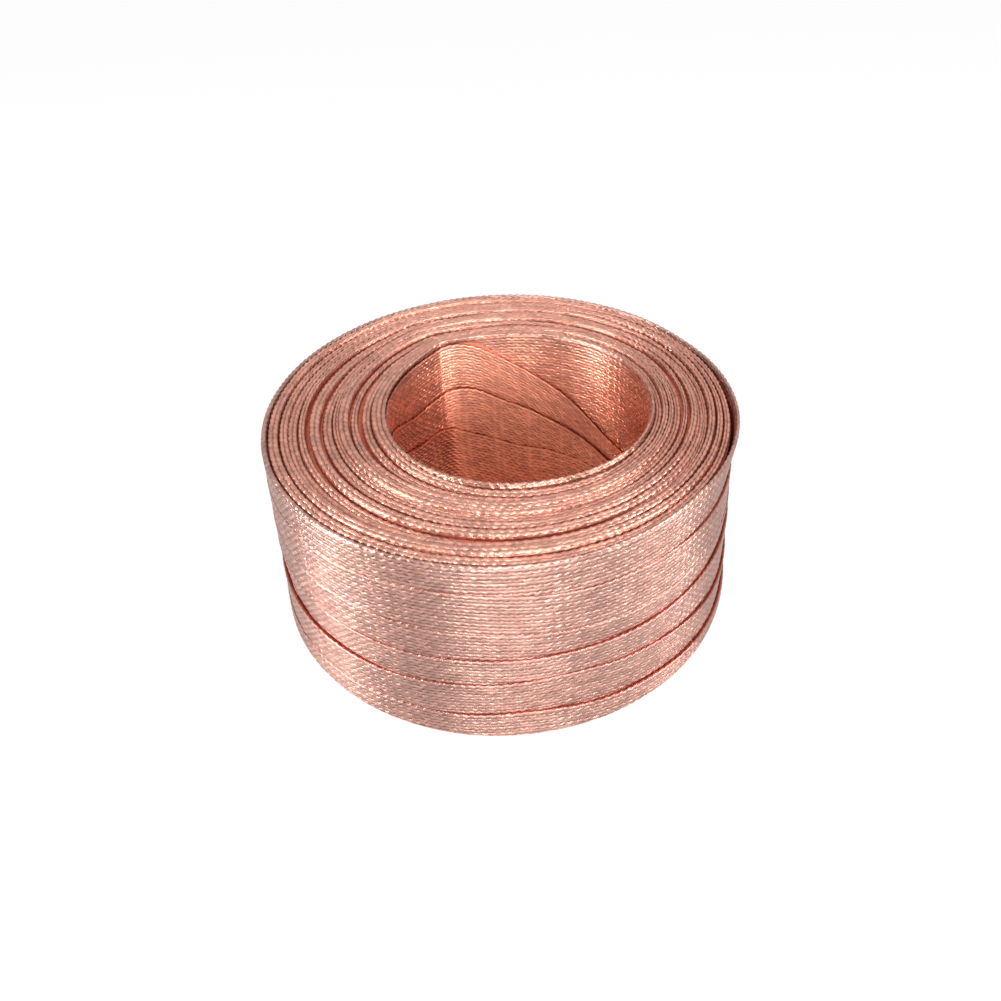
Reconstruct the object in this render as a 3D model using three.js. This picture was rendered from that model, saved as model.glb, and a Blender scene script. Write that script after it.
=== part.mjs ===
// A coil of flat braided copper strap, wound from one length with no spool and no tie.
// Millimetres, +Z up. The coil lies on one face, with the origin on the floor under the
// middle of its outline. The turns are packed together, so the coil is one solid. Its skin
// runs round the bore, and each cross-section shows the edges of the strap: leaning bands
// in the bore, rows of standing edges above and below, and bands round the outer wall
// whose upper edges stand proud like shingles.

import * as THREE from "three";

// Strap
const strapThickness = 1.2;

// Coil: the bore lies off the middle, so the turns are looser on the left than on the right
const boreRadius = 47.6;
const outerRadius = 83.5;
const coilHeight = 74;
const boreShift = 8;
const stations = 46;

// Rows of standing edges, each filling a share of its pitch, with grooves between them
const topEdges = 13;
const floorEdges = 12;
const edgeShare = 0.58;
const grooveDepth = 9;
const wander = 0.24;
const unevenTop = 1.4;

// Bands: the lower ones step outwards, and each edge stands clear of the band above it
const outerTaper = 0.035;
const boreTaper = 0.03;
const bandGap = 0.4;
const notchDepth = 1.6;

// Heights of the band edges in the bore, by angle
const boreBands = [
  [[0, 11], [58, 16.3], [88, 18.8], [115, 28.8], [126, 35], [143, 35.5], [172, 44], [230, 36.5], [300, 17]],
  [[0, 22], [36, 22], [70, 32.7], [93, 41.4], [112, 51.4], [145, 50], [176, 59.4], [230, 52], [300, 31]],
  [[0, 33.5], [36, 32], [50, 38.4], [65, 47.2], [90, 60], [112, 68.6], [200, 68.6], [245, 57], [300, 46]],
];

// Heights of the band edges on the outer wall, by angle
const outerBands = [
  [[30, 62], [90, 64], [231, 61.5], [257, 63.1], [289, 60.2], [328, 58.4]],
  [[0, 47.5], [90, 51.5], [200, 47.5], [268, 46.4], [300, 42.8]],
  [[0, 38.5], [90, 39.5], [230, 34.8], [325, 35]],
  [[0, 20.5], [90, 26.5], [215, 22.1], [252, 22.8], [283, 25.9], [306, 22.6], [332, 18.3]],
  [[30, 8], [90, 12], [215, 8], [261, 9.6], [272, 11.1], [294, 8.4], [313, 7.2], [330, 4.6]],
];

// The crease at the back left of the bore, and the top turn that springs away on the right
const creaseDepth = 5.5;
const creaseAngle = 122;
const creaseSpread = 16;
const flareLift = 2;
const flareAngle = 352;
const flareSpread = 34;

const copper = new THREE.MeshStandardMaterial({
  name: "bare_copper",
  color: 0xd29a86,
  roughness: 0.42,
  metalness: 1,
});

const radians = (degrees) => (degrees * Math.PI) / 180;
const range = (count) => Array.from({ length: count }, (_, index) => index);

// Degrees between two angles, from 0 to 180
function degreesApart(angle, centre) {
  const turned = Math.cos(radians(angle - centre));
  return (Math.acos(Math.min(Math.max(turned, -1), 1)) * 180) / Math.PI;
}

// Height of a band edge, on straight lines round the coil between its [angle, height] pairs
function heightAt(band, angle) {
  const [first, last] = [band[0], band.at(-1)];
  const around = [[last[0] - 360, last[1]], ...band, [first[0] + 360, first[1]]];
  const next = around.findIndex(([a]) => a > angle);
  const [a0, z0] = around[next - 1];
  const [a1, z1] = around[next];
  return z0 + ((angle - a0) / (a1 - a0)) * (z1 - z0);
}

// A point outside the bore wall or the outer wall by some distance
function borePoint(angle, out, z) {
  const crease = creaseDepth * Math.exp(-degreesApart(angle, creaseAngle) / creaseSpread);
  const radius = boreRadius + crease + out;
  const turned = radians(angle);
  return new THREE.Vector3(boreShift + radius * Math.cos(turned), radius * Math.sin(turned), z);
}

function outerPoint(angle, out, z) {
  const radius = outerRadius + out;
  const turned = radians(angle);
  return new THREE.Vector3(radius * Math.cos(turned), radius * Math.sin(turned), z);
}

// Up the bore: crest of each band edge, the notch behind it, and the foot of the next band
function boreWall(angle) {
  return boreBands.flatMap((band) => {
    const z = heightAt(band, angle);
    const front = -boreTaper * (coilHeight - z);
    return [
      borePoint(angle, front, z),
      borePoint(angle, front + strapThickness, z),
      borePoint(angle, front + strapThickness, z - notchDepth),
      borePoint(angle, front + strapThickness + bandGap, z - notchDepth),
    ];
  });
}

// Down the outer wall: foot of the band above, the notch, and the crest of each band edge
function outerWall(angle) {
  return outerBands.flatMap((band) => {
    const z = heightAt(band, angle);
    const front = outerTaper * (coilHeight - z);
    return [
      outerPoint(angle, front - strapThickness - bandGap, z - notchDepth),
      outerPoint(angle, front - strapThickness, z - notchDepth),
      outerPoint(angle, front - strapThickness, z),
      outerPoint(angle, front, z),
    ];
  });
}

// Across a row from the bore outwards: two corners of each edge, two of each groove
function edgeRow(angle, edges, boreOut, wallOut, crestAt, grooveZ) {
  const width = borePoint(angle, boreOut, 0).distanceTo(outerPoint(angle, wallOut, 0));
  const half = (edgeShare * width) / (edges - 1) / 2;
  const inner = borePoint(angle, boreOut + half, 0);
  const outer = outerPoint(angle, wallOut - half, 0);
  const side = new THREE.Vector3(Math.cos(radians(angle)), Math.sin(radians(angle)), 0);
  return range(edges).flatMap((edge) => {
    const share = edge / (edges - 1);
    const sway = Math.sin(1.3 * edge + radians(angle)) * Math.sin(Math.PI * share);
    const middle = inner.clone().lerp(outer, share + (wander * sway) / (edges - 1));
    const near = middle.clone().addScaledVector(side, -half);
    const far = middle.clone().addScaledVector(side, half);
    const crest = [near.clone().setZ(crestAt(edge)), far.clone().setZ(crestAt(edge))];
    const before = edge === 0 ? [] : [near.clone().setZ(grooveZ)];
    const after = edge === edges - 1 ? [] : [far.clone().setZ(grooveZ)];
    return [...before, ...crest, ...after];
  });
}

// The outermost top turn leans out
function topRow(angle) {
  const crestAt = (edge) => {
    const dip = 0.5 + 0.5 * Math.sin(1.9 * edge + radians(angle));
    return coilHeight - (edge % (topEdges - 1) === 0 ? 0 : unevenTop * dip);
  };
  const row = edgeRow(angle, topEdges, 0, 0, crestAt, coilHeight - grooveDepth);
  const away = Math.min(degreesApart(angle, flareAngle) / flareSpread, 1);
  const flare = flareLift * Math.cos((away * Math.PI) / 2);
  const side = new THREE.Vector3(Math.cos(radians(angle)), Math.sin(radians(angle)), 0);
  row.slice(-2).forEach((corner) => corner.addScaledVector(side, flare));
  return row;
}

function floorRow(angle) {
  const boreOut = -boreTaper * coilHeight;
  const wallOut = outerTaper * coilHeight;
  return edgeRow(angle, floorEdges, boreOut, wallOut, () => 0, grooveDepth).reverse();
}

// One cross-section of the coil, bore first
function crossSection(angle) {
  return [...boreWall(angle), ...topRow(angle), ...outerWall(angle), ...floorRow(angle)];
}

// The skin through all the cross-sections, with the origin under the middle of the outline
function coilGeometry() {
  const rings = range(stations).map((station) => crossSection((360 * station) / stations));
  const count = rings[0].length;
  const faces = range(stations).flatMap((station) => {
    const here = station * count;
    const there = ((station + 1) % stations) * count;
    return range(count).flatMap((point) => {
      const next = (point + 1) % count;
      const [a, b, c, d] = [here + point, there + point, there + next, here + next];
      return [a, c, b, a, d, c];
    });
  });
  const geometry = new THREE.BufferGeometry().setFromPoints(rings.flat());
  geometry.setIndex(faces);
  geometry.computeBoundingBox();
  const middle = geometry.boundingBox.getCenter(new THREE.Vector3());
  geometry.translate(-middle.x, -middle.y, 0);
  return geometry;
}

const coil = new THREE.Group();
const strap = new THREE.Mesh(coilGeometry(), copper);
strap.name = "wound_braid";
coil.add(strap);

export default coil;
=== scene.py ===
"""The looks of a coil of flat braided copper strap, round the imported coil."""

import math

import bmesh
import bpy
import numpy as np
from mathutils import Matrix, Vector


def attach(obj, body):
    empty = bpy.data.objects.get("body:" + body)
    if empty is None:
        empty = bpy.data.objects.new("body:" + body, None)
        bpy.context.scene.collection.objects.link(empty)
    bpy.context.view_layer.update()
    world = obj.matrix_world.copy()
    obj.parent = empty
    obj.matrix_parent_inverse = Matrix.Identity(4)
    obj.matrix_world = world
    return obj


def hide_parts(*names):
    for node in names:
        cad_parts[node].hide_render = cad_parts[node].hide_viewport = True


MM = 0.001

# The coil, in millimetres, as the CAD part has it
STRAP_THICK = 1.2
BORE_RADIUS = 47.6
OUTER_RADIUS = 83.5
HEIGHT = 74
OUTER_X = 0.0
BORE_X = 8.0
OUTER_TAPER = 0.035
BORE_TAPER = 0.03

CREASE_DEPTH = 5.5
CREASE_ANGLE = 122
CREASE_SPREAD = 16
FLARE_LIFT = 2.0
FLARE_ANGLE = 352
FLARE_SPREAD = 34

# Heights of the band edges, by angle
BORE_LOW = [
    (0, 11), (58, 16.3), (88, 18.8), (115, 28.8), (126, 35),
    (143, 35.5), (172, 44), (230, 36.5), (300, 17),
]
BORE_MIDDLE = [
    (0, 22), (36, 22), (70, 32.7), (93, 41.4), (112, 51.4),
    (145, 50), (176, 59.4), (230, 52), (300, 31),
]
BORE_HIGH = [
    (0, 33.5), (36, 32), (50, 38.4), (65, 47.2), (90, 60),
    (112, 72.2), (200, 72), (245, 58), (300, 46),
]
OUTER_FIRST = [(30, 62), (90, 64), (231, 61.5), (257, 63.1), (289, 60.2), (328, 58.4)]
OUTER_SECOND = [(0, 47.5), (90, 51.5), (200, 47.5), (268, 46.4), (300, 42.8)]
OUTER_THIRD = [(0, 38.5), (90, 39.5), (230, 34.8), (325, 35)]
OUTER_FOURTH = [
    (0, 20.5), (90, 26.5), (215, 22.1), (252, 22.8), (283, 25.9), (306, 22.6), (332, 18.3),
]
OUTER_LAST = [
    (30, 8), (90, 12), (215, 8), (261, 9.6), (272, 11.1), (294, 8.4), (313, 7.2), (330, 4.6),
]

# How far each edge stands clear of the band above it, by angle: some lie almost flush
CLEAR = [(0, 1.25)]
BORE_LOW_STEP = [(60, 0.45), (110, 0.5), (140, 0.9), (180, 1.2), (300, 1.0)]
OUTER_FIRST_STEP = [(0, 1.2), (130, 1.0), (180, 0.3), (290, 0.3), (312, 0.6), (330, 1.0)]
OUTER_SECOND_STEP = [(0, 0.9), (130, 0.8), (180, 0.25), (330, 0.3)]
OUTER_THIRD_STEP = [(0, 1.2), (130, 1.0), (180, 0.3), (240, 0.4), (270, 0.7), (300, 1.1)]
OUTER_FOURTH_STEP = [(0, 1.2), (190, 1.6), (225, 1.2), (250, 0.6), (280, 0.5), (305, 1.0)]
OUTER_LAST_STEP = [(0, 1.2), (150, 1.0), (190, 0.3), (250, 0.4), (275, 1.0), (300, 1.2)]

# The bands' edges wander up and down, and their faces in and out
EDGE_WOBBLE = 0.3
FACE_WOBBLE = 0.12
UNDERLAP = 1.4
BORE_FOOT = 3.6

# Rows of standing edges, with the shares of a turn's pitch that they fill and leave
TOP_EDGES = 13
FLOOR_EDGES = 12
WANDER = 0.24
UNEVEN_TOP = 1.4
TOP_SHARE = 0.89
FLOOR_SHARE = 0.58
PACKED_SHARE = 0.99
WALL_SHARE = 0.46
SUNK_TURN = 8
SUNK_DEPTH = 2.4
GAPS_AT_FRONT = (2, 5, SUNK_TURN)
LAST_LOOSE_AT_LEFT = 9
LOOSE_TURNS = (3, 5, 8, 10)
LOOSE_GAP = 0.27
SKIRT = 2.8

# The weave: rows of leaning floats along the strap
ROW = 1.4
REPEAT = 2.9
LEAN = 0.42
CREST_LEAN = 0.36
FLOAT_ROUND = 0.85
END_DIP = 0.26
UNEVEN_FLOATS = 0.15
WIRE_LEAN = 0.35
WAVE = 0.2
RELIEF = 0.5
BORE_SHARE = 1.3
BENT_SHARE = 0.9
BENT_SPREAD = 5
# Floats in the crease whose relief passes this share get a painted glint
GLINT_FROM_RELIEF = 1.4
CORNER_RISE = 0.3
CORNER_SHADE = 0.25
SHOULDER = 0.9
FLOOR_CLEAR = 0.4

# Packed turns below the rows, from the floor and down from the top
PACKED_FOOT = 3.5
PACKED_DROP = 2.6
PACKED_IN = 0.9


def degrees_apart(angle, centre):
    """Degrees between two angles, from 0 to 180."""
    return np.abs((angle - centre + 180) % 360 - 180)


def near(angle, centre, spread):
    """1 at an angle, falling away on both sides of it."""
    return np.exp(-((degrees_apart(angle, centre) / spread) ** 2))


def crease(angle):
    """Depth of the crease in the bore wall, a little rounded in its corner."""
    away = np.hypot(degrees_apart(angle, CREASE_ANGLE), 2)
    return CREASE_DEPTH * np.exp(-away / CREASE_SPREAD)


def bore_relief(angle):
    """Relief of the floats in the bore, where they bend up along the crease."""
    return RELIEF * (BORE_SHARE + BENT_SHARE * near(angle, CREASE_ANGLE, BENT_SPREAD))


def even_relief(angle):
    """Relief of the floats everywhere else."""
    return np.full_like(angle, RELIEF)


def flare(angle):
    """How far the top turn springs away from the coil."""
    away = np.minimum(degrees_apart(angle, FLARE_ANGLE) / FLARE_SPREAD, 1)
    return FLARE_LIFT * np.cos(away * math.pi / 2)


def wobble(angle, seed):
    """A slow irregular wave round the coil, between about -1 and 1."""
    turned = np.radians(angle)
    waves = 0.5 * np.sin(3 * turned + seed) + 0.3 * np.sin(7 * turned + 2.1 * seed)
    return waves + 0.25 * np.sin(13 * turned + 1.3 * seed)


def value_at(pairs, angle):
    """A value round the coil from its (angle, value) pairs, softened at their corners."""
    angles = [a for a, _ in pairs]
    values = [v for _, v in pairs]
    turns = (-6, -3, 0, 3, 6)
    return sum(np.interp(angle + turn, angles, values, period=360) for turn in turns) / 5


def bore_wall(angle, out):
    """Points out from the bore wall, as x and y."""
    radius = BORE_RADIUS + crease(angle) + out
    turned = np.radians(angle)
    return np.stack([BORE_X + radius * np.cos(turned), radius * np.sin(turned)], axis=-1)


def outer_wall(angle, out):
    """Points out from the outer wall, as x and y."""
    radius = OUTER_RADIUS + out
    turned = np.radians(angle)
    return np.stack([OUTER_X + radius * np.cos(turned), radius * np.sin(turned)], axis=-1)


def scattered(number):
    """A number from 0 to 1 for each whole number, in no order."""
    mixed = np.sin(number * 12.9898) * 43758.5453
    return mixed - np.floor(mixed)


def section(front, back, lobes, steps):
    """Round a standing edge's section, from its front foot over its folds to its back
    foot: share of the width in from the front face, drop below the edge, the way the face
    looks there, and the distance across the weave."""
    rise = STRAP_THICK / 2
    step = ROW / steps
    points = [(0, rise + step * i, 1, 0, -step * i) for i in range(round(front / step), 0, -1)]
    for lobe in range(lobes):
        for i in range(1 if lobe else 0, steps + 1):
            turn = math.pi * i / steps
            share = (lobe + 0.5 - 0.5 * math.cos(turn)) / lobes
            inner = i == steps and lobe < lobes - 1
            face = 0 if inner else math.cos(turn)
            drop = rise - rise * math.sin(turn)
            points.append((share, drop, face, math.sin(turn), (lobe + i / steps) * ROW))
    last = lobes * ROW
    points += [(1, rise + step * i, -1, 0, last + step * i) for i in range(1, round(back / step) + 1)]
    return np.array(points)


def band_section(front, steps):
    """Round a band's section, as section() has it. Its edge is thin, so it is nearly square."""
    step = ROW / steps
    points = [(0, 0.2 + step * i, 1, 0, -step * i) for i in range(round(front / step), -1, -1)]
    points += [(0.12, 0, 0.4, CORNER_RISE, 0.05), (0.5, 0.05, 0, 0, 0.1), (1, 0.3, 0, 0, 0.15)]
    points.append((1, 0.2 + front, 0, 0, 0.2))
    return np.array(points)


def rolled_grid(name, columns, rows):
    """A flat grid, with each point's share of the way along it and its row. The last row
    is the first again, so the grid can be rolled into a closed ring."""
    bm = bmesh.new()
    bmesh.ops.create_grid(bm, x_segments=columns, y_segments=rows, size=1)
    mesh = bpy.data.meshes.new(name)
    bm.to_mesh(mesh)
    bm.free()
    flat = np.empty(len(mesh.vertices) * 3)
    mesh.vertices.foreach_get("co", flat)
    flat = flat.reshape(-1, 3)
    row = np.rint((flat[:, 1] + 1) / 2 * rows).astype(int) % rows
    return mesh, (flat[:, 0] + 1) / 2, row


def floats(turns, across, repeats, seed):
    """Where each point lies in its row of floats, the way the row leans, where it lies
    along its float, and the float's number."""
    row = np.floor(across / ROW + 0.001)
    within = across / ROW - row - 0.5
    lean = np.where(row % 2 == 0, 1.0, -1.0)
    float_turns = turns % repeats + 0.5 * (row % 2)
    cell = float_turns - np.rint(float_turns)
    number = np.rint(float_turns) % repeats + 997 * row + 31 * seed
    return within, lean, cell, number


def float_crown(within, lean, cell, number):
    """How high each point lies on its float, up to 1 on the crest."""
    ridge = within - CREST_LEAN * lean * cell
    crown = np.sqrt(np.clip(1 - FLOAT_ROUND * (2 * ridge) ** 2, 0.05, 1))
    crown *= 1 - END_DIP + END_DIP * np.sqrt(np.abs(np.cos(math.pi * cell)))
    return crown * (1 - UNEVEN_FLOATS + UNEVEN_FLOATS * scattered(number))


def strap_ring(name, around, outline, steps, seed, relief, place):
    """A closed ring of strap. place(angle, drop) gives the front face's x, y and z there,
    the way out from it, the section's width and whether the ring still reaches that low,
    for arrays of angles and drops."""
    repeats = round(around / REPEAT)
    mesh, round_it, index = rolled_grid(name, repeats * steps, len(outline))
    share, drop, face, rise, across = outline[index].T
    turns = round_it * repeats
    within, lean, cell, number = floats(turns, across, repeats, seed)
    crown = float_crown(within, lean, cell, number)
    # Flat tops, on a band's edge and between two folds, get crown 0 and so the seam's painted shade;
    # the corner rows get a darker painted shade, to dim their highlight.
    crown = np.where((face == 0) & (rise == 0), 0, crown)
    crown = np.where(rise == CORNER_RISE, CORNER_SHADE * crown, crown)

    # The columns follow the leaning floats, but stand upright where nothing is woven
    sheared = turns - LEAN * lean * within
    *_, woven = place((sheared / repeats * 360) % 360, drop)
    along = np.where(woven, sheared, turns)
    angle = (along / repeats * 360) % 360
    high = relief(angle)
    # Each float's tone varies at random; where the crease bends the floats up, it is raised further
    # as a painted glint.
    tone_and_glint = scattered(number) + np.maximum(high / RELIEF - GLINT_FROM_RELIEF, 0)
    spot, out, width, _ = place(angle, drop)
    above = spot[:, 2] > FLOOR_CLEAR
    spot[:, 2] = np.where(above, spot[:, 2], 0)
    above = above & woven
    lifted = high * (crown - 0.5) * above
    wave = WAVE * np.sin(2 * math.pi * along) * above
    spot[:, :2] += out * (face * lifted - share * width)[:, None]
    spot[:, 2] += rise * lifted + wave
    mesh.vertices.foreach_set("co", (spot * MM).ravel())
    shade = mesh.attributes.new("crown", "FLOAT", "POINT")
    shade.data.foreach_set("value", crown)
    wires = mesh.attributes.new("wires", "FLOAT_VECTOR", "POINT")
    wire = within * ROW - WIRE_LEAN * lean * cell * REPEAT
    wires.data.foreach_set("vector", np.stack([tone_and_glint, wire, number % 97], axis=-1).ravel())
    return sealed(name, mesh)


def sealed(name, mesh):
    """The mesh with its seams closed, as a smooth object."""
    bm = bmesh.new()
    bm.from_mesh(mesh)
    bmesh.ops.remove_doubles(bm, verts=bm.verts, dist=1e-6)
    bmesh.ops.recalc_face_normals(bm, faces=bm.faces)
    for each in bm.faces:
        each.smooth = True
    bm.to_mesh(mesh)
    bm.free()
    piece = bpy.data.objects.new(name, mesh)
    bpy.context.collection.objects.link(piece)
    return piece


def joined(flat_xy, z):
    """Points from their x and y and their heights."""
    return np.concatenate([flat_xy, z[:, None]], axis=1)


def radial(angle):
    """The way straight out from the coil's axis."""
    turned = np.radians(angle)
    return np.stack([np.cos(turned), np.sin(turned)], axis=-1)


def pitch_at(angle, taper, edges):
    """The middle-to-middle distance of the turns in a row, with the row's two ends."""
    inner = bore_wall(angle, -BORE_TAPER * taper)
    outer = outer_wall(angle, OUTER_TAPER * taper)
    return np.linalg.norm(outer - inner, axis=1) / (edges - 1), inner, outer


def wall_band(wall, side, taper, upper, lower, step, lean, seed):
    """Where the face of a wall's band lies, between its own edge and the next one down."""

    def place(angle, drop):
        top = value_at(upper, angle) if upper else np.full_like(angle, HEIGHT)
        bottom = value_at(lower, angle) if lower else np.zeros_like(angle)
        if upper:
            top = top + EDGE_WOBBLE * wobble(angle, seed)
        else:
            top = top - SHOULDER * side * near(angle, 280, 42)
        end = np.minimum(top, top - bottom + UNDERLAP) if lower else top
        woven = (drop < end) & (top - drop > FLOOR_CLEAR)
        drop = np.minimum(drop, end)
        at_top = taper * (HEIGHT - top) + (0 if upper else lean(angle))
        at_bottom = taper * (HEIGHT - bottom) - (value_at(step, angle) if lower else 0)
        share = drop / (top - bottom)
        out = side * (at_top + (at_bottom - at_top) * share)
        out = out + side * FACE_WOBBLE * wobble(angle, seed + 2)
        if side < 0 and not lower:
            out = out - BORE_FOOT * near(angle, 95, 62) * share**2
        filled = WALL_SHARE - 0.14 * near(angle, 290, 46)
        width = STRAP_THICK if upper else filled * pitch_at(angle, 0, TOP_EDGES)[0]
        return joined(wall(angle, out), top - drop), side * radial(angle), width, woven

    return place


def standing_edge(edge, edges, upward):
    """Where the outer face of one turn in a row lies."""
    taper = 0 if upward else HEIGHT
    share = edge / (edges - 1)

    def place(angle, drop):
        pitch, inner, outer = pitch_at(angle, taper, edges)
        sway = np.sin(1.3 * edge + np.radians(angle)) * math.sin(math.pi * share)
        mix = (share + WANDER * sway / (edges - 1))[:, None]
        filled = TOP_SHARE + 0.08 * np.sin(2.1 * edge + 2 * np.radians(angle))
        packed = near(angle, 268, 42) * (edge not in GAPS_AT_FRONT)
        packed = np.maximum(packed, near(angle, 215, 40) * (edge > LAST_LOOSE_AT_LEFT))
        sides = np.maximum(near(angle, 170, 50), near(angle, 15, 50))
        loose = LOOSE_GAP * sides if edge in LOOSE_TURNS else 0
        share_filled = filled + (PACKED_SHARE - filled) * packed - loose
        width = pitch * (share_filled if upward else FLOOR_SHARE)
        middle = inner * (1 - mix) + outer * mix + radial(angle) * width[:, None] / 2
        dip = 0.5 + 0.5 * np.sin(1.9 * edge + np.radians(angle)) + 0.25 * wobble(angle, edge)
        sunk = SUNK_DEPTH * near(angle, 275, 26) if edge == SUNK_TURN else 0
        z = HEIGHT - UNEVEN_TOP * dip - sunk - drop if upward else drop
        return joined(middle, z), radial(angle), width, np.full(len(angle), True)

    return place


def tallest(upper, lower):
    """The greatest height of a band between its edge and the next one down."""
    angle = np.arange(0, 360, 2.0)
    top = value_at(upper, angle) if upper else HEIGHT
    bottom = value_at(lower, angle) if lower else 0
    return float(np.max(top - bottom))


def make_wall(name, wall, side, radius, taper, bands, lean):
    """The shingled bands of one wall, from the rim down."""
    edges = [None, *[edge for edge, _ in bands], None]
    steps = [*[step for _, step in bands], None]
    for number, (upper, lower, step) in enumerate(zip(edges, edges[1:], steps)):
        front = tallest(upper, lower) + (UNDERLAP if lower else 0)
        place = wall_band(wall, side, taper, upper, lower, step, lean, number + radius)
        outline = band_section(front, 4) if upper else section(front, SKIRT, 1, 4)
        relief = even_relief if side > 0 else bore_relief
        around = 2 * math.pi * radius
        label = "%s_band_%d" % (name, number)
        yield strap_ring(label, around, outline, 4, number, relief, place)


def make_outer_wrap():
    """The bands round the outside, the top one springing away on the right."""
    bands = [
        (OUTER_FIRST, OUTER_FIRST_STEP),
        (OUTER_SECOND, OUTER_SECOND_STEP),
        (OUTER_THIRD, OUTER_THIRD_STEP),
        (OUTER_FOURTH, OUTER_FOURTH_STEP),
        (OUTER_LAST, OUTER_LAST_STEP),
    ]
    yield from make_wall("outer", outer_wall, 1, OUTER_RADIUS, OUTER_TAPER, bands, flare)


def make_bore_wrap():
    """The bands in the bore."""
    bands = [(BORE_HIGH, CLEAR), (BORE_MIDDLE, CLEAR), (BORE_LOW, BORE_LOW_STEP)]
    upright = np.zeros_like
    yield from make_wall("bore", bore_wall, -1, BORE_RADIUS, BORE_TAPER, bands, upright)


def make_row(name, edges, outline, steps, upward):
    """The standing edges between the two walls, above or below the coil."""
    for edge in range(1, edges - 1):
        around = 2 * math.pi * (BORE_RADIUS + (OUTER_RADIUS - BORE_RADIUS) * edge / (edges - 1))
        place = standing_edge(edge, edges, upward)
        label = "%s_turn_%d" % (name, edge)
        yield strap_ring(label, around, outline, steps, edge, even_relief, place)


def make_packed_turns():
    """The buried turns, which close the grooves between the edges."""
    top = HEIGHT - PACKED_DROP
    corners = [(0, PACKED_FOOT), (1, PACKED_FOOT), (1, top), (0, top)]
    mesh, round_it, index = rolled_grid("packed_turns", 120, len(corners))
    angle = (round_it * 360) % 360
    share, z = np.array(corners)[index].T
    inner = bore_wall(angle, PACKED_IN)
    outer = outer_wall(angle, -PACKED_IN)
    spot = joined(inner * (1 - share[:, None]) + outer * share[:, None], z)
    mesh.vertices.foreach_set("co", (spot * MM).ravel())
    return sealed("packed_turns", mesh)


def painted_bore_shade(nodes, links, place, colour):
    """The colour with a painted shade and reflection, darker and redder the lower it lies, as copper
    looks inside a copper well.
    """
    height = nodes.new("ShaderNodeSeparateXYZ")
    links.new(place.outputs["Object"], height.inputs["Vector"])
    share = nodes.new("ShaderNodeMapRange")
    share.inputs["From Max"].default_value = HEIGHT * MM
    links.new(height.outputs["Z"], share.inputs["Value"])
    ramp = nodes.new("ShaderNodeValToRGB")
    ramp.color_ramp.elements[0].color = (0.72, 0.38, 0.28, 1)
    ramp.color_ramp.elements[1].color = (0.73, 0.74, 0.75, 1)
    ramp.color_ramp.elements.new(0.3).color = (0.9, 0.62, 0.48, 1)
    ramp.color_ramp.elements.new(0.84).color = (1, 0.88, 0.8, 1)
    links.new(share.outputs["Result"], ramp.inputs["Fac"])
    depth_shaded = nodes.new("ShaderNodeMix")
    depth_shaded.data_type = "RGBA"
    depth_shaded.blend_type = "MULTIPLY"
    depth_shaded.inputs["Factor"].default_value = 1
    links.new(colour, depth_shaded.inputs["A"])
    links.new(ramp.outputs["Color"], depth_shaded.inputs["B"])
    return depth_shaded.outputs["Result"]


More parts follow.
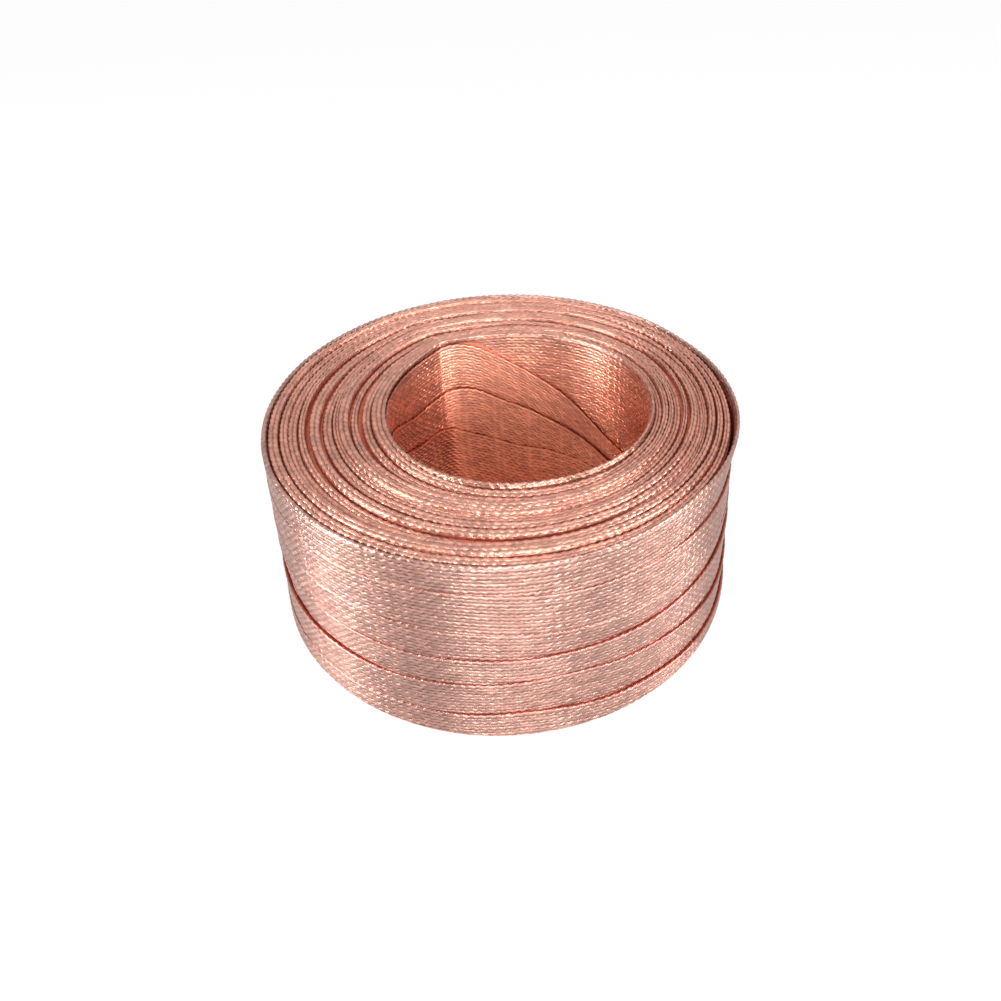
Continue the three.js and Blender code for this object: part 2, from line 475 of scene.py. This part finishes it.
def copper_braid(name, seam_shade, valley_shade, crest, in_bore):
    """Bare fine copper wire: painted shade along the seams and between the floats, the copper's own
    colour on the floats' crests.
    """
    material = bpy.data.materials.new(name)
    material.use_nodes = True
    nodes = material.node_tree.nodes
    links = material.node_tree.links
    shader = nodes["Principled BSDF"]
    shader.inputs["Metallic"].default_value = 1.0

    crown = nodes.new("ShaderNodeAttribute")
    crown.attribute_name = "crown"
    # The floats' height picks the colour: painted shade in the seams and valleys, the copper's own
    # colour on the crests.
    ramp = nodes.new("ShaderNodeValToRGB")
    ramp.color_ramp.elements[0].position = 0
    ramp.color_ramp.elements[0].color = seam_shade
    ramp.color_ramp.elements[1].position = 0.7
    ramp.color_ramp.elements[1].color = crest
    ramp.color_ramp.elements.new(0.18).color = valley_shade
    links.new(crown.outputs["Fac"], ramp.inputs["Fac"])

    place = nodes.new("ShaderNodeTexCoord")
    tarnish = nodes.new("ShaderNodeTexNoise")
    tarnish.inputs["Scale"].default_value = 38
    tarnish.inputs["Detail"].default_value = 4
    links.new(place.outputs["Object"], tarnish.inputs["Vector"])
    shade = nodes.new("ShaderNodeMix")
    shade.data_type = "RGBA"
    shade.blend_type = "MULTIPLY"
    shade.inputs["B"].default_value = (0.9, 0.8, 0.76, 1)
    links.new(tarnish.outputs["Fac"], shade.inputs["Factor"])
    colour = ramp.outputs["Color"]
    # In the bore, a painted shade and reflection, darker and redder lower down.
    if in_bore:
        colour = painted_bore_shade(nodes, links, place, colour)
    links.new(colour, shade.inputs["A"])

    rough = nodes.new("ShaderNodeMapRange")
    rough.inputs["To Min"].default_value = 0.3
    rough.inputs["To Max"].default_value = 0.42
    links.new(tarnish.outputs["Fac"], rough.inputs["Value"])
    links.new(rough.outputs["Result"], shader.inputs["Roughness"])

    upwards = nodes.new("ShaderNodeCombineXYZ")
    upwards.inputs["Z"].default_value = 1
    along = nodes.new("ShaderNodeVectorMath")
    along.operation = "CROSS_PRODUCT"
    links.new(upwards.outputs["Vector"], along.inputs[0])
    links.new(place.outputs["Object"], along.inputs[1])
    links.new(along.outputs["Vector"], shader.inputs["Tangent"])
    shader.inputs["Anisotropic"].default_value = 0.8
    shader.inputs["Anisotropic Rotation"].default_value = 0.25

    wires = nodes.new("ShaderNodeAttribute")
    wires.attribute_name = "wires"
    each = nodes.new("ShaderNodeSeparateXYZ")
    links.new(wires.outputs["Vector"], each.inputs["Vector"])
    # The base colour is scaled by each float's random tone and by the painted glint along the crease.
    tone_and_glint_scale = nodes.new("ShaderNodeMapRange")
    tone_and_glint_scale.clamp = False
    tone_and_glint_scale.inputs["To Min"].default_value = 0.78
    tone_and_glint_scale.inputs["To Max"].default_value = 1.12
    links.new(each.outputs["X"], tone_and_glint_scale.inputs["Value"])
    varied = nodes.new("ShaderNodeVectorMath")
    varied.operation = "SCALE"
    links.new(shade.outputs["Result"], varied.inputs["Vector"])
    links.new(tone_and_glint_scale.outputs["Result"], varied.inputs["Scale"])
    links.new(varied.outputs["Vector"], shader.inputs["Base Color"])
    strands = nodes.new("ShaderNodeTexWave")
    strands.bands_direction = "Y"
    strands.inputs["Scale"].default_value = 1.6
    strands.inputs["Distortion"].default_value = 1.2
    links.new(wires.outputs["Vector"], strands.inputs["Vector"])
    bump = nodes.new("ShaderNodeBump")
    bump.inputs["Strength"].default_value = 0.25
    bump.inputs["Distance"].default_value = 0.0001
    links.new(strands.outputs["Fac"], bump.inputs["Height"])
    links.new(bump.outputs["Normal"], shader.inputs["Normal"])
    return material


def shaded_copper():
    """Copper deep between the turns, dark and red."""
    material = bpy.data.materials.new("shaded_copper")
    material.use_nodes = True
    nodes = material.node_tree.nodes
    shader = nodes["Principled BSDF"]
    shader.inputs["Metallic"].default_value = 1.0
    shader.inputs["Roughness"].default_value = 0.6
    noise = nodes.new("ShaderNodeTexNoise")
    noise.inputs["Scale"].default_value = 400
    ramp = nodes.new("ShaderNodeValToRGB")
    ramp.color_ramp.elements[0].color = (0.5, 0.12, 0.07, 1)
    ramp.color_ramp.elements[1].color = (0.8, 0.28, 0.17, 1)
    place = nodes.new("ShaderNodeTexCoord")
    links = material.node_tree.links
    links.new(place.outputs["Object"], noise.inputs["Vector"])
    links.new(noise.outputs["Fac"], ramp.inputs["Fac"])
    links.new(ramp.outputs["Color"], shader.inputs["Base Color"])
    return material


def dress(piece, material):
    """Gives a piece its material and its place in the frame."""
    piece.data.materials.append(material)
    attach(piece, "root")
    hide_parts("wound_braid")


def seen_or_mirrored(nodes, links):
    """1 for rays from the camera and for those that metal or glass sends on."""
    path = nodes.new("ShaderNodeLightPath")
    found = path.outputs["Is Camera Ray"]
    for kind in ("Is Glossy Ray", "Is Transmission Ray"):
        either = nodes.new("ShaderNodeMath")
        either.operation = "MAXIMUM"
        links.new(found, either.inputs[0])
        links.new(path.outputs[kind], either.inputs[1])
        found = either.outputs["Value"]
    return found


def make_floor():
    """A white floor that keeps a faint shadow of the coil."""
    bpy.ops.mesh.primitive_plane_add(size=6, location=(0, 0, 0))
    floor = bpy.context.object
    floor.name = "floor"
    material = bpy.data.materials.new("white_floor")
    material.use_nodes = True
    nodes = material.node_tree.nodes
    links = material.node_tree.links
    diffuse = nodes["Principled BSDF"]
    diffuse.inputs["Base Color"].default_value = (0.9, 0.9, 0.9, 1)
    diffuse.inputs["Roughness"].default_value = 1
    glow = nodes.new("ShaderNodeEmission")
    share = nodes.new("ShaderNodeMath")
    share.operation = "MULTIPLY"
    share.inputs[1].default_value = 0.9
    mix = nodes.new("ShaderNodeMixShader")
    links.new(seen_or_mirrored(nodes, links), share.inputs[0])
    links.new(share.outputs["Value"], mix.inputs["Fac"])
    links.new(diffuse.outputs["BSDF"], mix.inputs[1])
    links.new(glow.outputs["Emission"], mix.inputs[2])
    links.new(mix.outputs["Shader"], nodes["Material Output"].inputs["Surface"])
    floor.data.materials.append(material)


def make_world():
    """White where it is seen directly or mirrored, and softer as a light."""
    world = bpy.data.worlds.new("studio")
    bpy.context.scene.world = world
    world.use_nodes = True
    nodes = world.node_tree.nodes
    links = world.node_tree.links
    seen = nodes["Background"]
    seen.inputs["Strength"].default_value = 1
    seen.inputs["Color"].default_value = (1, 1, 1, 1)
    light = nodes.new("ShaderNodeBackground")
    light.inputs["Color"].default_value = (1, 1, 1, 1)
    light.inputs["Strength"].default_value = 0.7
    mix = nodes.new("ShaderNodeMixShader")
    links.new(seen_or_mirrored(nodes, links), mix.inputs["Fac"])
    links.new(light.outputs["Background"], mix.inputs[1])
    links.new(seen.outputs["Background"], mix.inputs[2])
    links.new(mix.outputs["Shader"], nodes["World Output"].inputs["Surface"])


def softbox(name, place, size, power):
    """A rectangular lamp that faces the middle of the coil."""
    data = bpy.data.lights.new(name, "AREA")
    data.shape = "RECTANGLE"
    data.size, data.size_y = size
    data.energy = power
    lamp = bpy.data.objects.new(name, data)
    bpy.context.collection.objects.link(lamp)
    lamp.location = place
    aim = Vector((0, 0, 0.04)) - Vector(place)
    lamp.rotation_euler = aim.to_track_quat("-Z", "Y").to_euler()


def make_lights():
    softbox("overhead", (0.15, -0.35, 1.1), (0.3, 0.3), 1.2)
    softbox("left_strip", (-1.05, -0.35, 0.34), (0.06, 0.6), 15)
    softbox("front_strip", (0.06, -1.15, 0.34), (0.05, 0.6), 15)
    softbox("right_strip", (1.0, -0.5, 0.34), (0.06, 0.6), 13)


def make_camera():
    """Through the photograph's view: 34 degrees above the coil, with its framing and roll."""
    distance, elevation, focal, width = 0.3262, math.radians(34.0), 904.4, 1001.0
    centre_x, centre_y, roll = 496.0, 401.7, math.radians(-3.2)
    aim = Vector((OUTER_X * MM, 0, HEIGHT * MM))
    data = bpy.data.cameras.new("camera")
    data.sensor_width = 36
    data.lens = focal / width * 36
    data.shift_x = (width / 2 - centre_x) / width
    data.shift_y = (centre_y - width / 2) / width
    data.clip_start = 0.01
    camera = bpy.data.objects.new("camera", data)
    bpy.context.collection.objects.link(camera)
    back = Vector((0, -math.cos(elevation), math.sin(elevation)))
    turned = (-back).to_track_quat("-Z", "Y").to_matrix().to_4x4()
    turned = turned @ Matrix.Rotation(roll, 4, "Z")
    camera.matrix_world = Matrix.Translation(aim + back * distance) @ turned
    bpy.context.scene.camera = camera


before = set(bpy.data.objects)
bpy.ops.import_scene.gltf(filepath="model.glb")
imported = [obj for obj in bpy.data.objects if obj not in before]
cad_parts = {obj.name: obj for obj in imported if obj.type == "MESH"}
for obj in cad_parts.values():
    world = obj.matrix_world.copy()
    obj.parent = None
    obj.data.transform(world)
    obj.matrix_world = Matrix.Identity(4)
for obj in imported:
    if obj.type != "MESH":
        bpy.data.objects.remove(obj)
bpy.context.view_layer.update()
bpy.context.scene.view_settings.view_transform = "Standard"
make_camera()
make_world()
make_lights()
make_floor()
# Three copies of one copper, coloured for painted light: the top and floor edges a lighter, redder
# copy for painted reflection between the turns, the bore a lighter copy with a painted shade that
# deepens downward. In each copy the seam and valley colours are painted shade.
seam_shade, valley_shade, crest = (0.38, 0.06, 0.035, 1), (0.25, 0.09, 0.07, 1), (0.52, 0.318, 0.27, 1)
braid = copper_braid("copper_braid", seam_shade, valley_shade, crest, False)
seam_shade, valley_shade, crest = (0.62, 0.11, 0.06, 1), (0.48, 0.14, 0.095, 1), (0.69, 0.37, 0.29, 1)
edge_braid_painted_light = copper_braid("edge_braid_painted_light", seam_shade, valley_shade, crest, False)
seam_shade, valley_shade, crest = (0.2, 0.025, 0.012, 1), (0.42, 0.13, 0.08, 1), (0.82, 0.45, 0.35, 1)
bore_braid_painted_light = copper_braid("bore_braid_painted_light", seam_shade, valley_shade, crest, True)
top_row = make_row("top", TOP_EDGES, section(SKIRT, SKIRT, 2, 4), 4, True)
floor_row = make_row("floor", FLOOR_EDGES, section(SKIRT, SKIRT, 1, 2), 2, False)
for piece in make_outer_wrap():
    dress(piece, braid)
for piece in (*top_row, *floor_row):
    dress(piece, edge_braid_painted_light)
for piece in make_bore_wrap():
    dress(piece, bore_braid_painted_light)
dress(make_packed_turns(), shaded_copper())
